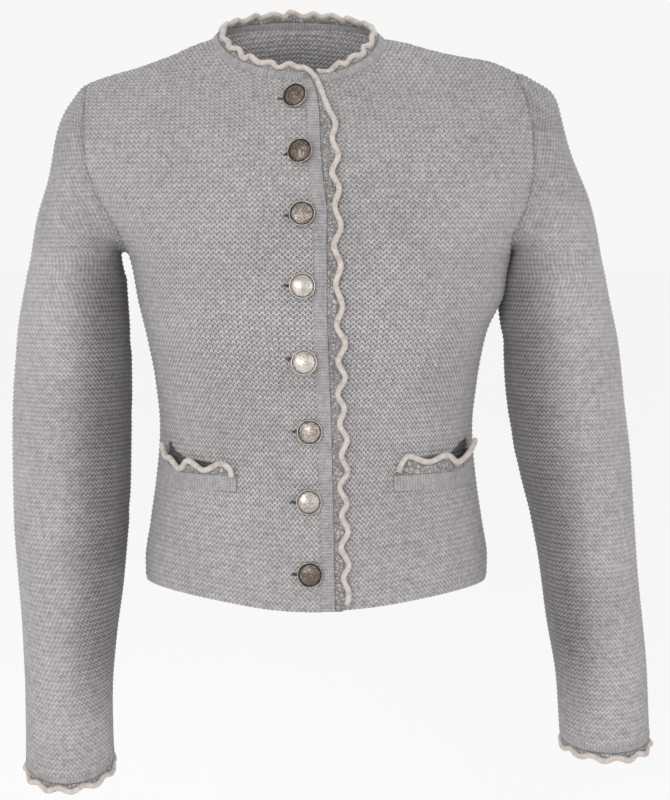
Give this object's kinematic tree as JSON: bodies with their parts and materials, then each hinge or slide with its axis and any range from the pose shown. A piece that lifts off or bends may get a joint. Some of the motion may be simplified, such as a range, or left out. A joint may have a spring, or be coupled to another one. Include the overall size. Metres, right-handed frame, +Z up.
{
  "type": "knit cardigan",
  "caption": "Short fitted garter-stitch cardigan in grey wool with domed metal buttons, long sleeves, two pocket welts and a scalloped edging with a cream cord; worn shape, hollow.",
  "frame": {"origin": "middle of the neck base, level with the neck ends of the shoulder seams, where the wearer holds the garment up", "axes": "+Z up, -Y towards the front, +X towards the wearer's left"},
  "size_m": [0.5517, 0.242, 0.6687],
  "materials": {
    "garter_knit": "pale warm-grey melange wool in garter stitch, soft and matt",
    "plain_knit": "the same wool in a closer plain knit",
    "scalloped_edging": "the same wool, crocheted in scallops",
    "cream_cord": "soft round cord of undyed cream wool",
    "old_silver": "cast metal with an antique-silver finish, finely pitted"
  },
  "bodies": {
    "root": {"right_front": "garter_knit", "left_front": "garter_knit", "back": "garter_knit", "right_sleeve": "garter_knit", "left_sleeve": "garter_knit", "edge_band": "plain_knit", "edge_scallops": "scalloped_edging", "edge_cord": "cream_cord", "right_cuff_band": "plain_knit", "right_cuff_scallops": "scalloped_edging", "right_cuff_cord": "cream_cord", "left_cuff_band": "plain_knit", "left_cuff_scallops": "scalloped_edging", "left_cuff_cord": "cream_cord", "right_pocket_welt": "plain_knit", "right_pocket_scallops": "scalloped_edging", "right_pocket_cord": "cream_cord", "left_pocket_welt": "plain_knit", "left_pocket_scallops": "scalloped_edging", "left_pocket_cord": "cream_cord", "button_1": "old_silver", "button_2": "old_silver", "button_3": "old_silver", "button_4": "old_silver", "button_5": "old_silver", "button_6": "old_silver", "button_7": "old_silver", "button_8": "old_silver"}
  },
  "joints": []
}
